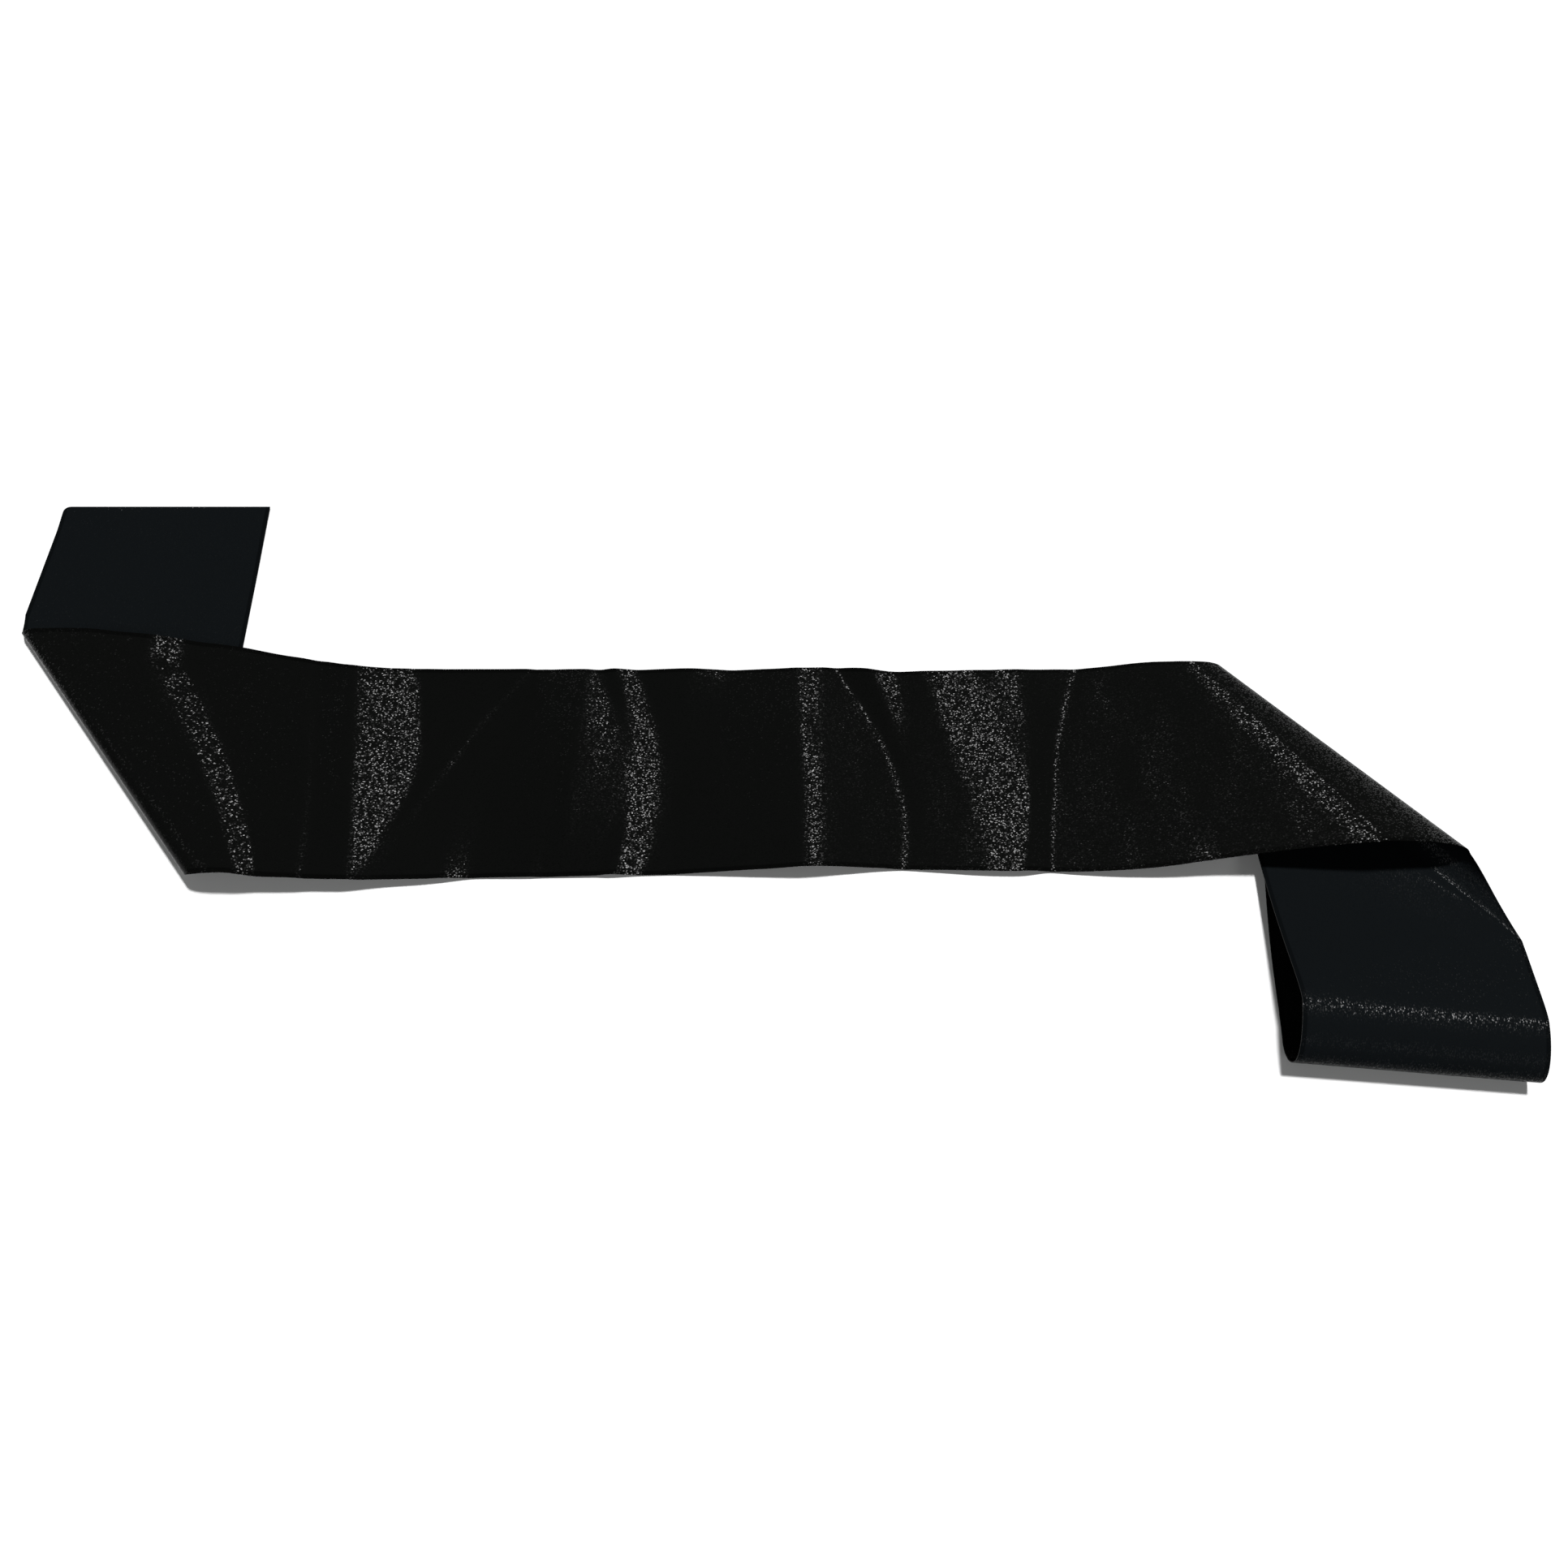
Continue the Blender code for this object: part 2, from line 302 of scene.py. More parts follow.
@dataclass(frozen=True)
class RibbonShape:
    """The middle layer of the whole ribbon, as sections from its outer to its inner edge.

    Lengths are in millimetres, and the lines of the turns are in degrees from +X. Each pair holds
    the outer edge's value and then the inner edge's.
    """

    width: float = 100.0
    rest: float = 0.6
    far_tail_left: float = -350.6
    far_tail_end: float = 149.8
    far_tail_crowding: float = 1.5
    far_tail_lift: float = 0.8
    far_tail_lift_share: float = 0.25
    corner: float = 3.0
    far_fold_line: float = 130.8
    far_fold_outer_x: float = -341.5
    far_fold_inner_x: float = -229.5
    far_fold_turns: tuple[Turn, Turn] = (
        Turn(5.0, 5.0, 0.6, 0.60, 1.80),
        Turn(12.0, 13.0, 0.6, 0.86, 0.80),
    )
    near_fold_line: float = -48.0
    near_fold_outer_x: float = 184.0
    near_fold_inner_x: float = 242.0
    near_fold_turns: tuple[Turn, Turn] = (
        Turn(9.0, 9.0, 0.6, 0.90, 0.90),
        Turn(26.0, 11.0, 9.5, 0.90, 2.45),
    )
    roll_line: float = 172.6
    roll_crests: tuple[Point3, Point3] = (Point3(198.0, -101.0, 20.5), Point3(290.8, -110.0, 18.5))
    roll_turns: tuple[Turn, Turn] = (
        Turn(22.0, 12.0, 0.6, 0.02, 0.02),
        Turn(20.5, 10.0, 0.6, 0.02, 0.02),
    )
    loop_sag: float = 1.2
    loop_powers: tuple[float, float] = (2.5, 1.0)
    roll_keenness: float = 10.0
    crease_fade: float = 0.15
    crease_end: float = 1.1
    under_corners: tuple[tuple[float, float], tuple[float, float]] = ((202.5, -22.0), (292.5, -52.0))
    under_bow: float = 1.5
    lines_far_y: float = 57.0
    lines_near_y: float = -44.0
    softening: tuple[float, ...] = (1, 3, 4, 3, 1)
    least_spacing: float = 0.6
    calm: float = 30.0
    fan: float = 90.0
    across: int = 80

    def band_edge(self, x: Array, edge: Edge) -> Array:
        """One of the band's edges in plan, at the height of the fold lines there.

        Args:
            x: where along the band.
            edge: which of the two edges.

        Returns:
            Points with x, y and z.
        """
        y = through(x, column(BAND_EDGES, "x"), column(BAND_EDGES, f"{edge.value}_y"))
        z = np.interp(x, column(FOLD_LINES, f"{edge.value}_x"), column(FOLD_LINES, f"{edge.value}_z"))
        return np.stack([x, y, z], axis=-1)

    def turned_edge(self, crest: Array, turn: Turn, line: float, count: int) -> Array:
        """One edge round a half turn: a quarter ellipse down and out, and another back under.

        At an angle a from 0 to pi the height is the foot's plus half the fall times 1 + cos a, and
        the way out is the reach less the quarter's own radius times 1 - sin a. On its way the edge
        also travels along the turn's line, by a share of each step that it takes.

        Args:
            crest: where the turn starts.
            turn: the edge's reach, way back, foot and travels.
            line: the direction of the turn's line, in degrees from +X.
            count: how many steps it takes.

        Returns:
            Points from the crest to the foot.
        """
        angle = np.radians(line)
        along = np.array([np.cos(angle), np.sin(angle)])
        out = np.array([-along[1], along[0]])
        fall = (crest[2] - turn.foot) / 2
        a = np.linspace(0, np.pi, count + 1)
        upper = np.arange(count + 1) <= count / 2
        reach = np.where(upper, turn.reach, turn.back)
        outward = turn.reach - reach * (1 - np.sin(a))
        step = np.sqrt((reach * np.cos(a)) ** 2 + (fall * np.sin(a)) ** 2)
        way = np.where(upper, turn.travel_out, turn.travel_back) * step
        travel = np.concatenate([[0], np.cumsum((way[1:] + way[:-1]) / 2 * np.diff(a))])
        plan = np.asarray(crest)[:2] + outward[:, None] * out + travel[:, None] * along
        return np.column_stack([plan, turn.foot + fall * (1 + np.cos(a))])

    def half_turn(self, crests: Sequence[Any], turns: Sequence[Turn], line: float, count: int) -> Array:
        """Sections round a half turn, from crest to foot.

        Args:
            crests: the outer and the inner edge's crest.
            turns: the outer and the inner edge's turn.
            line: the direction of the turn's line, in degrees from +X.
            count: how many steps it takes.

        Returns:
            Sections with an outer and an inner point.
        """
        edges = [self.turned_edge(np.array(crest), turn, line, count) for crest, turn in zip(crests, turns)]
        return np.stack(edges, axis=1)

    def far_tail(self, fold_foot: Array, count: int) -> Array:
        """Straight sections from the cut end, a little lifted, to the foot of the far fold.

        They crowd towards the cut end. A quarter circle of radius r rounds the left corner: where
        it is s past the circle's start, the edge moves in by r less the root of r squared less s
        squared.

        Args:
            fold_foot: the fold's last section.
            count: how many steps it takes.

        Returns:
            Sections with an outer and an inner point.
        """
        t = np.linspace(0, 1, count + 1)[:, None] ** self.far_tail_crowding
        left = np.array([self.far_tail_left, self.far_tail_end, self.rest])
        ends = np.stack([left, left + np.array([self.width, 0.0, 0.0])])
        sections = ends[None] * (1 - t[..., None]) + fold_foot[None] * t[..., None]
        short = np.clip(self.corner - (self.far_tail_end - sections[:, 0, 1]), 0.0, self.corner)
        sections[:, 0, 0] += self.corner - np.sqrt(self.corner**2 - short**2)
        sections[..., 2] = self.rest + self.far_tail_lift * (1 - eased(t / self.far_tail_lift_share))
        return sections

    def band(self, count: int) -> Array:
        """Sections from crest to crest, which fan from one fold's slant to the other's.

        Args:
            count: how many steps it takes.

        Returns:
            Sections with an outer and an inner point.
        """
        first = (self.far_fold_outer_x + self.far_fold_inner_x) / 2
        last = (self.near_fold_outer_x + self.near_fold_inner_x) / 2
        middle = np.linspace(first, last, count + 1)
        slant_first = (self.far_fold_inner_x - self.far_fold_outer_x) / 2
        slant_last = (self.near_fold_inner_x - self.near_fold_outer_x) / 2
        slant = slant_first * (1 - eased((middle - first) / self.fan))
        slant = slant + slant_last * eased((middle - last + self.fan) / self.fan)
        far, near = self.band_edge(middle - slant, Edge.FAR), self.band_edge(middle + slant, Edge.NEAR)
        return np.stack([far, near], axis=1)

    def near_tail(self, fold_foot: Array, roll_crest: Array, count: int) -> Array:
        """Sections from the foot of the near fold up over the loop to the roll's crest.

        With t the way along, raised to the edge's own power, and k the roll's keenness, the edge
        has risen by the share (k t - t to the power k) / (k - 1), and is level only at the crest.

        Args:
            fold_foot: the fold's last section.
            roll_crest: the roll's first section.
            count: how many steps it takes.

        Returns:
            Sections with an outer and an inner point.
        """
        t = np.linspace(0, 1, count + 1)[:, None, None]
        sections = fold_foot[None] * (1 - t) + roll_crest[None] * t
        lead = t[..., 0] ** np.array(self.loop_powers)
        rise = (self.roll_keenness * lead - lead**self.roll_keenness) / (self.roll_keenness - 1)
        sections[..., 2] = fold_foot[:, 2] * (1 - rise) + roll_crest[:, 2] * rise
        return sections

    def under_tail(self, roll_foot: Array, count: int) -> Array:
        """Sections from the roll's foot back along the table to the hidden end.

        The outer edge bows outwards, by the bow times sin pi t squared times 1 - t.

        Args:
            roll_foot: the roll's last section.
            count: how many steps it takes.

        Returns:
            Sections with an outer and an inner point.
        """
        t = np.linspace(0, 1, count + 1)[:, None, None]
        end = np.column_stack([np.array(self.under_corners), [self.rest, self.rest]])
        sections = roll_foot[None] * (1 - t) + end[None] * t
        bow = self.under_bow * np.sin(np.pi * t[:, 0, 0]) ** 2 * (1 - t[:, 0, 0])
        sections[:, 0, 0] -= bow
        return sections

    def height(self, points: Array) -> Array:
        """How high the band lies: even slopes between the fold lines, softened along the ribbon.

        At each point the fold lines are read at its share of the way from the far to the near
        edge. The height is the first line's and, for each line passed, the step to the next.
        Long low waves are added away from the folds' crests.

        Args:
            points: the band's points in plan.

        Returns:
            The height at each point, in millimetres.
        """
        x, y = points[..., 0], points[..., 1]
        share = np.clip((self.lines_far_y - y) / (self.lines_far_y - self.lines_near_y), 0.0, 1.0)
        lines = []
        for row in FOLD_LINES:
            at = self.curved(share, row.far_x, row.middle_x, row.near_x)
            if lines:
                at = np.maximum(at, lines[-1][0] + self.least_spacing)
            lines.append((at, self.curved(share, row.far_z, row.middle_z, row.near_z)))
        height = lines[0][1].copy()
        for (x0, z0), (x1, z1) in zip(lines, lines[1:]):
            height += (z1 - z0) * np.clip((x - x0) / (x1 - x0), 0.0, 1.0)
        height = np.maximum(self.softened(height), self.rest)
        fade = eased((x - lines[0][0]) / self.calm) * eased((lines[-1][0] - x) / self.calm)
        for wave in UNEVENNESS:
            turns = x / wave.length_x + y / wave.length_y
            height += wave.height * fade * (1 + np.sin(2 * np.pi * turns + wave.phase))
        return height

    def curved(self, share: Array, far: float, middle: float, near: float) -> Array:
        """A parabola through a value at the far edge, one at the middle and one at the near edge."""
        bend = 2 * (far - 2 * middle + near)
        return far + (near - far) * share - bend * share * (1 - share)

    def creased(self, points: Array) -> Array:
        """The height that the near tail's creases add.

        Each has a bell-shaped ridge on its line and, on the nearer side, a trough that starts
        steeply and ends softly. Both fade out at the line's two ends.

        Args:
            points: the near tail's points in plan.

        Returns:
            The added height at each point, in millimetres.
        """
        added = np.zeros(points.shape[:-1])
        for crease in TAIL_CREASES:
            start = np.array([crease.start_x, crease.start_y])
            line = np.array([crease.end_x, crease.end_y]) - start
            length = np.linalg.norm(line)
            line = line / length
            away = points[..., :2] - start
            share = away @ line / length
            nearer = away @ np.array([line[1], -line[0]])
            fade = eased(share / self.crease_fade) * eased((self.crease_end - share) / self.crease_fade)
            ridge = crease.ridge * np.exp(-((nearer / crease.ridge_width) ** 2))
            t = np.clip(nearer / crease.trough_width, 0.0, 1.0)
            added += fade * (ridge - crease.trough * DIP_SCALE * t * (1 - t) ** 2)
        return added

    def softened(self, height: Array) -> Array:
        """A weighted running average of the heights along the ribbon."""
        weights = np.array(self.softening) / sum(self.softening)
        reach = len(weights) // 2
        padded = np.pad(height, ((reach, reach), (0, 0)), mode="reflect", reflect_type="odd")
        return sum(weight * padded[i : i + len(height)] for i, weight in enumerate(weights))

    def sections(self) -> dict[Stretch, Array]:
        """The sections of every stretch, each stretch starting where the last one ends."""
        band = self.band(STEPS[Stretch.BAND])
        far_steps, near_steps = STEPS[Stretch.FAR_FOLD], STEPS[Stretch.NEAR_FOLD]
        far_fold = self.half_turn(band[0], self.far_fold_turns, self.far_fold_line, far_steps)
        near_fold = self.half_turn(band[-1], self.near_fold_turns, self.near_fold_line, near_steps)
        roll = self.half_turn(self.roll_crests, self.roll_turns, self.roll_line, STEPS[Stretch.END_ROLL])
        return {
            Stretch.FAR_TAIL: self.far_tail(far_fold[-1], STEPS[Stretch.FAR_TAIL]),
            Stretch.FAR_FOLD: far_fold[::-1],
            Stretch.BAND: band,
            Stretch.NEAR_FOLD: near_fold,
            Stretch.NEAR_TAIL: self.near_tail(near_fold[-1], roll[0], STEPS[Stretch.NEAR_TAIL]),
            Stretch.END_ROLL: roll,
            Stretch.UNDER_TAIL: self.under_tail(roll[-1], STEPS[Stretch.UNDER_TAIL]),
        }

    def grid(self) -> Array:
        """The middle layer of the whole ribbon: each section as a straight row of points.

        The band then takes its height from the fold lines, and the near tail sags between its
        ends and edges, by the sag times sin pi t squared along and sin pi t across.

        Returns:
            Points in rows along the ribbon and columns across it, in millimetres.
        """
        across = np.linspace(0, 1, self.across + 1)[None, :, None]
        grids = []
        for stretch, sections in self.sections().items():
            rows = sections[:, :1] * (1 - across) + sections[:, 1:] * across
            if stretch is Stretch.BAND:
                rows[..., 2] = self.height(rows)
            if stretch is Stretch.NEAR_TAIL:
                along = np.linspace(0, 1, len(rows))[:, None]
                rows[..., 2] -= self.loop_sag * np.sin(np.pi * along) ** 2 * np.sin(np.pi * across[..., 0])
                rows[..., 2] += self.creased(rows)
            grids.append(rows if stretch is Stretch.UNDER_TAIL else rows[:-1])
        return np.concatenate(grids)


class Socket:
    """A node's output that takes part in Python expressions, which add Math nodes."""

    def __init__(self, graph: "Graph", link: Any) -> None:
        """Keeps the graph and the output socket."""
        self.graph = graph
        self.link = link

    def math(self, operation: str, *others: Any) -> "Socket":
        """A Math node on this value and the others.

        Args:
            operation: the Math node's operation.
            others: its further values, numbers or sockets.

        Returns:
            Its result.
        """
        values = {i: value for i, value in enumerate((self, *others))}
        return self.graph.node("ShaderNodeMath", {"operation": operation}, values)

    def flipped(self, operation: str, first: Any) -> "Socket":
        """A Math node whose first value is a number."""
        return self.graph.node("ShaderNodeMath", {"operation": operation}, {0: first, 1: self})

    def __add__(self, other: Any) -> "Socket":
        """This plus the other."""
        return self.math("ADD", other)

    __radd__ = __add__

    def __sub__(self, other: Any) -> "Socket":
        """This less the other."""
        return self.math("SUBTRACT", other)

    def __rsub__(self, other: Any) -> "Socket":
        """The other less this."""
        return self.flipped("SUBTRACT", other)

    def __mul__(self, other: Any) -> "Socket":
        """This times the other."""
        return self.math("MULTIPLY", other)

    __rmul__ = __mul__

    def __truediv__(self, other: Any) -> "Socket":
        """This over the other."""
        return self.math("DIVIDE", other)

    def floor(self) -> "Socket":
        """The whole number below this."""
        return self.math("FLOOR")

    def between(self, low: float, high: float) -> "Socket":
        """0 where this is at or below low, 1 at or above high, and smooth between."""
        settings = {"interpolation_type": "SMOOTHSTEP"}
        values = {"Value": self, "From Min": low, "From Max": high, "To Min": 0.0, "To Max": 1.0}
        return self.graph.node("ShaderNodeMapRange", settings, values)


class Graph:
    """A material's node tree."""

    def __init__(self, name: str) -> None:
        """Makes the material with only its output and its shader."""
        self.material = bpy.data.materials.new(name)
        self.material.use_nodes = True
        self.tree = self.material.node_tree
        self.shader = self.tree.nodes["Principled BSDF"]

    def node(self, kind: str, settings: dict[str, Any], values: dict[Any, Any], output: Any = 0) -> Socket:
        """Adds a node: its settings first, then the values or links of its sockets.

        Args:
            kind: the node's type.
            settings: the node's own properties.
            values: a number, tuple or Socket for each input, by name or number.
            output: the name or number of the output that is wanted.

        Returns:
            That output.
        """
        made = self.tree.nodes.new(kind)
        for key, value in settings.items():
            setattr(made, key, value)
        for key, value in values.items():
            self.feed(made.inputs[key], value)
        return Socket(self, made.outputs[output])

    def feed(self, slot: Any, value: Any) -> None:
        """Links a Socket to an input, or sets the input to a plain value."""
        if isinstance(value, Socket):
            self.tree.links.new(value.link, slot)
        else:
            slot.default_value = value

    def shade(self, values: dict[str, Any]) -> None:
        """Feeds the Principled shader's inputs."""
        for key, value in values.items():
            self.feed(self.shader.inputs[key], value)


@dataclass(frozen=True)
class SatinFinish:
    """One side of the satin: a warp of long floats, each a round thread that leans its own way.

    Lengths are in metres. The floats run along the ribbon in rows, and each row is shifted
    against the last, so that their ends lie on diagonals. The lean of each float along itself is
    what breaks the sheen into speckle. rougher is how much is added for the dullest floats, and
    rim_tone how bright the selvedge's colour is, as a share of the cloth's.
    """

    name: str
    colour: tuple[float, float, float, float]
    roughness: float
    rougher: float
    specular: float
    thread: float = 0.00035
    float_length: float = 0.00052
    row_shift: float = 0.5
    lean_along: float = 0.09
    lean_across: float = 1.0
    selvedge: float = 0.0022
    selvedge_start: float = 0.7
    rim_tone: float = 0.62
    mottle_scale: float = 160.0
    mottle_height: float = 0.00004
    ribbon_width: float = 0.1

    def material(self) -> bpy.types.Material:
        """The finish as a material that reads the ribbon's own map, along and across in metres.

        Returns:
            The material.
        """
        graph = Graph(self.name)
        place = graph.node("ShaderNodeUVMap", {"uv_map": "cloth"}, {})
        along = graph.node("ShaderNodeSeparateXYZ", {}, {0: place}, "X")
        across = graph.node("ShaderNodeSeparateXYZ", {}, {0: place}, "Y")
        leaning, chance = self.floats(graph, along, across)
        graph.shade({
            "Base Color": self.edged(graph, across),
            "Roughness": self.roughness + chance * self.rougher,
            "Specular IOR Level": self.specular,
            "Metallic": 0.0,
            "Normal": self.mottled(graph, place, leaning),
        })
        return graph.material

    def floats(self, graph: Graph, along: Socket, across: Socket) -> tuple[Socket, Socket]:
        """The woven floats: each is a cell of the cloth that leans its own way.

        Two random colours for each float are added up, so that most floats lean only a little.

        Args:
            graph: the material's graph.
            along: the way along the ribbon.
            across: the way across it.

        Returns:
            The way that each float faces, and a chance from 0 to 1 of its own.
        """
        row = (across / self.thread).floor()
        place_in_row = (along / self.float_length + row * self.row_shift).floor()
        cell = graph.node("ShaderNodeCombineXYZ", {}, {"X": row, "Y": place_in_row})
        first, second = self.chances(graph, cell, "2D"), self.chances(graph, cell, "3D")
        lean_x = 0.5 + (first[0] + second[0] - 1) * (self.lean_along / 4)
        lean_y = 0.5 + (first[1] + second[1] - 1) * (self.lean_across / 4)
        facing = graph.node("ShaderNodeCombineXYZ", {}, {"X": lean_x, "Y": lean_y, "Z": 1.0})
        tangent = {"space": "TANGENT", "uv_map": "cloth"}
        return graph.node("ShaderNodeNormalMap", tangent, {"Color": facing}), first[2]

    def chances(self, graph: Graph, cell: Socket, dimensions: str) -> list[Socket]:
        """Three random values for each float.

        Args:
            graph: the material's graph.
            cell: the float's row and its place in the row.
            dimensions: which of the noises to read.

        Returns:
            The values, each from 0 to 1.
        """
        noise = {"noise_dimensions": dimensions}
        colour = graph.node("ShaderNodeTexWhiteNoise", noise, {"Vector": cell}, "Color")
        names = ("Red", "Green", "Blue")
        return [graph.node("ShaderNodeSeparateColor", {}, {0: colour}, name) for name in names]

    def edged(self, graph: Graph, across: Socket) -> Socket:
        """The cloth's colour, a little darker on the selvedges along both edges.

        Args:
            graph: the material's graph.
            across: the way across the ribbon.

        Returns:
            The colour.
        """
        rim = across.math("MINIMUM", self.ribbon_width - across)
        inner = rim.between(self.selvedge * self.selvedge_start, self.selvedge)
        tone = self.rim_tone + inner * (1 - self.rim_tone)
        mix = {"data_type": "RGBA", "blend_type": "MIX"}
        return graph.node("ShaderNodeMix", mix, {"Factor": tone, 6: (0, 0, 0, 1), 7: self.colour}, 2)

    def mottled(self, graph: Graph, place: Socket, leaning: Socket) -> Socket:
        """The floats' normal on a cloth that is nowhere quite flat.

        Args:
            graph: the material's graph.
            place: where on the uncut ribbon.
            leaning: the way that each float faces.

        Returns:
            The normal.
        """
        grain = {"Vector": place, "Scale": self.mottle_scale, "Detail": 3.0, "Roughness": 0.55}
        mottle = graph.node("ShaderNodeTexNoise", {"noise_dimensions": "2D"}, grain, "Fac")
        height = mottle * self.mottle_height
        relief = {"Strength": 1.0, "Distance": 1.0, "Height": height, "Normal": leaning}
        return graph.node("ShaderNodeBump", {}, relief)


FACE = SatinFinish("satin_face", (0.0031, 0.0033, 0.0031, 1.0), 0.14, 0.04, 0.026, lean_across=1.3)
REVERSE = SatinFinish("satin_reverse", (0.0042, 0.0052, 0.0059, 1.0), 0.16, 0.05, 0.022)


@dataclass
class Sash:
    """The ribbon as one thin closed shell, and its two finishes.

    Lengths are in millimetres. shift brings the layout into the row frame, and an edge of the mesh
    that is keener than sharp_angle, in degrees, is shaded as sharp.
    """

    shape: RibbonShape
    thickness: float = 0.4
    table_gap: float = 0.05
    shift: tuple[float, float] = (27.95, -9.4)
    sharp_angle: float = 50.0
    name: str = "sash"

    def normals(self, grid: Array) -> Array:
        """The unit normal at each point, on the face's side, from the grid's two gradients."""
        normal = np.cross(np.gradient(grid, axis=1), np.gradient(grid, axis=0))
        return normal / np.linalg.norm(normal, axis=-1, keepdims=True)

    def flat_places(self, grid: Array) -> tuple[Array, Array]:
        """Where each point lies on the uncut ribbon, in metres along and across it.

        Along is the arc length of the two edges, shared in a straight line between them.

        Args:
            grid: the ribbon's middle layer in millimetres.

        Returns:
            The distances along and across.
        """
        edges = grid[:, [0, -1]]
        steps = np.linalg.norm(np.diff(edges, axis=0), axis=-1)
        lengths = np.concatenate([np.zeros((1, 2)), np.cumsum(steps, axis=0)])
        share = np.linspace(0, 1, grid.shape[1])[None, :]
        along = lengths[:, :1] * (1 - share) + lengths[:, 1:] * share
        across = np.broadcast_to(share * self.shape.width, along.shape)
        return along * MM, across * MM

    def build(self) -> bpy.types.Object:
        """Makes the shell: the face's grid, the reverse's grid and the rim between them.

        Both grids lie half a thickness off the ribbon's middle layer, along its normals.

        Returns:
            The finished piece.
        """
        grid = self.shape.grid()
        off = self.normals(grid) * self.thickness / 2
        lower = self.shape.rest - self.thickness / 2 - self.table_gap
        grid = grid - np.array([0.0, 0.0, lower])
        points = np.concatenate([(grid + off).reshape(-1, 3), (grid - off).reshape(-1, 3)])
        points[:, :2] += self.shift
        mesh = bpy.data.meshes.new(self.name)
        mesh.from_pydata((points * MM).tolist(), [], self.faces(*grid.shape[:2]).tolist())
        self.map_cloth(mesh, np.stack(self.flat_places(grid), axis=-1).reshape(-1, 2))
        self.dress(mesh, (grid.shape[0] - 1) * (grid.shape[1] - 1))
        piece = bpy.data.objects.new(self.name, mesh)
        bpy.context.scene.collection.objects.link(piece)
        return piece

    def faces(self, rows: int, columns: int) -> Array:
        """The shell's four-sided faces: the face's, the reverse's and then the rim's.

        Args:
            rows: how many rows of points each grid has.
            columns: how many points each row has.

        Returns:
            Four vertex numbers for each face.
        """
        index = np.arange(rows * columns).reshape(rows, columns)
        below = index + rows * columns
        quads = [self.cells(index), self.cells(below)[:, ::-1]]
        rims = ((index[0], below[0]), (index[-1][::-1], below[-1][::-1]))
        rims += ((index[::-1, 0], below[::-1, 0]), (index[:, -1], below[:, -1]))
        quads += [np.stack([up[:-1], down[:-1], down[1:], up[1:]], axis=-1) for up, down in rims]
        return np.concatenate(quads)

    def cells(self, index: Array) -> Array:
        """The four corners of each cell of a grid of vertex numbers, going round upwards."""
        corners = [index[:-1, :-1], index[:-1, 1:], index[1:, 1:], index[1:, :-1]]
        return np.stack(corners, axis=-1).reshape(-1, 4)

    def map_cloth(self, mesh: bpy.types.Mesh, places: Array) -> None:
        """Gives every corner of the mesh its place on the uncut ribbon."""
        layer = mesh.uv_layers.new(name="cloth")
        corners = np.empty(len(mesh.loops), dtype=np.int32)
        mesh.loops.foreach_get("vertex_index", corners)
        layer.uv.foreach_set("vector", places[corners % len(places)].astype(np.float32).ravel())

    def dress(self, mesh: bpy.types.Mesh, cells: int) -> None:
        """Shades the mesh smooth and gives the reverse its own finish.

        Args:
            mesh: the shell.
            cells: how many faces each side has.
        """
        mesh.materials.append(FACE.material())
        mesh.materials.append(REVERSE.material())
        which = np.full(len(mesh.polygons), Side.FACE.value, dtype=np.int32)
        which[cells : 2 * cells] = Side.REVERSE.value
        mesh.polygons.foreach_set("material_index", which)
        mesh.shade_smooth()
        mesh.set_sharp_from_angle(angle=np.radians(self.sharp_angle))
        mesh.update()

    def declare(self, piece: bpy.types.Object) -> None:
        """Hangs the piece under the root body and hides the solids' parts."""
        along, _ = self.flat_places(self.shape.grid())
        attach(piece, "root")
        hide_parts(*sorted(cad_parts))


@dataclass(frozen=True)
class Softbox:
    """A square studio light that looks at the sash, in metres and watts."""

    name: str
    place: tuple[float, float, float]
    size: float
    power: float
    colour: tuple[float, float, float] = (1.0, 1.0, 1.0)


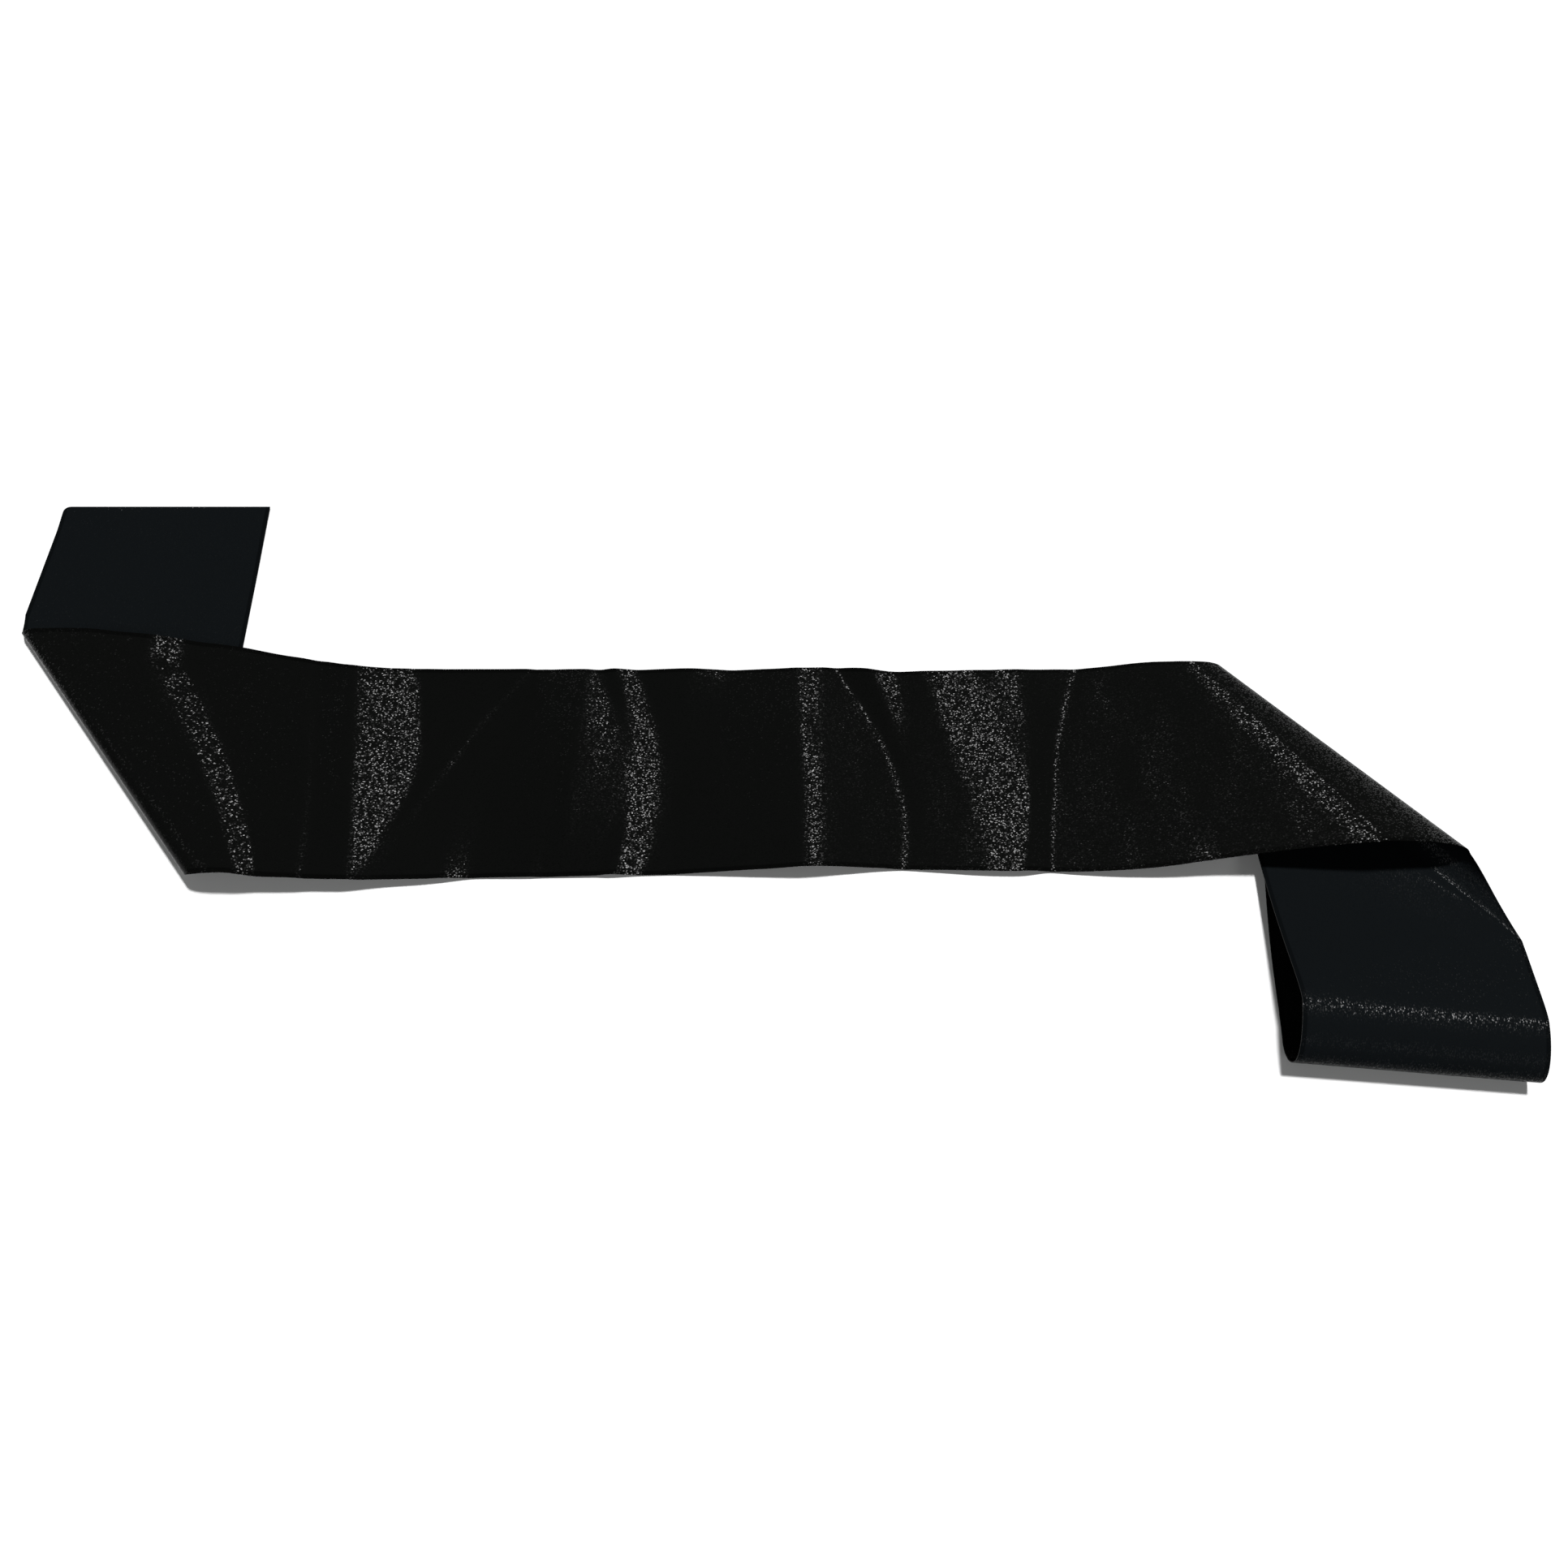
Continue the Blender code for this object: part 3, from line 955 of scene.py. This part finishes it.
@dataclass(frozen=True)
class Studio:
    """The pale floor, the lights and the camera, in metres.

    The camera looks at the target from the near side, elevation degrees above the table.
    """

    target: tuple[float, float, float] = (0.02795, -0.0094, 0.0)
    elevation: float = 64.0
    distance: float = 0.521
    focal_pixels: float = 1480.0
    image_pixels: float = 1932.0
    sensor: float = 36.0
    floor_size: float = 12.0
    floor_colour: tuple[float, float, float, float] = (0.86, 0.86, 0.86, 1.0)
    world: float = 0.065
    world_colour: tuple[float, float, float, float] = (0.98, 1.0, 1.0, 1.0)
    lights: tuple[Softbox, ...] = (
        Softbox("back_light", (1.027, 1.24, 4.8), 0.5, 310.0),
        Softbox("left_light", (-3.2, -2.0, 2.6), 1.2, 34.0, (0.99, 1.0, 0.99)),
        Softbox("right_light", (3.4, -2.2, 2.6), 1.2, 16.0),
    )

    def floor(self) -> None:
        """A plain pale floor, which isn't part of the object."""
        half = self.floor_size / 2
        mesh = bpy.data.meshes.new("floor")
        corners = [(-half, -half, 0), (half, -half, 0), (half, half, 0), (-half, half, 0)]
        mesh.from_pydata(corners, [], [(0, 1, 2, 3)])
        graph = Graph("floor_paper")
        graph.shade({"Base Color": self.floor_colour, "Roughness": 0.9, "Specular IOR Level": 0.1})
        mesh.materials.append(graph.material)
        made = bpy.data.objects.new("floor", mesh)
        bpy.context.scene.collection.objects.link(made)

    def light(self) -> None:
        """The softboxes, and a dim even world."""
        for box in self.lights:
            data = bpy.data.lights.new(box.name, "AREA")
            data.shape = "SQUARE"
            data.size = box.size
            data.energy = box.power
            data.color = box.colour
            made = bpy.data.objects.new(box.name, data)
            made.location = box.place
            view = Vector(self.target) - Vector(box.place)
            made.rotation_euler = view.to_track_quat("-Z", "Y").to_euler()
            bpy.context.scene.collection.objects.link(made)
        world = bpy.data.worlds.new("studio")
        world.use_nodes = True
        background = world.node_tree.nodes["Background"]
        background.inputs["Color"].default_value = self.world_colour
        background.inputs["Strength"].default_value = self.world
        bpy.context.scene.world = world
        bpy.context.scene.view_settings.view_transform = "Standard"

    def camera(self) -> None:
        """The camera, at the photo's height, distance and angle of view."""
        tilt = np.radians(self.elevation)
        back = self.distance * np.array([0.0, -np.cos(tilt), np.sin(tilt)])
        data = bpy.data.cameras.new("camera")
        data.sensor_width = self.sensor
        data.lens = self.focal_pixels / self.image_pixels * self.sensor
        data.clip_start = 0.01
        made = bpy.data.objects.new("camera", data)
        made.location = Vector(self.target) + Vector(back.tolist())
        made.rotation_euler = (-Vector(back.tolist())).to_track_quat("-Z", "Y").to_euler()
        bpy.context.scene.collection.objects.link(made)
        bpy.context.scene.camera = made


def main() -> None:
    """Builds the studio and the sash, and hangs the sash under the root body."""
    logging.basicConfig(level=logging.INFO, format="%(message)s")
    studio = Studio()
    studio.camera()
    studio.floor()
    studio.light()
    sash = Sash(RibbonShape())
    piece = sash.build()
    sash.declare(piece)


if __name__ == "__main__":
    main()
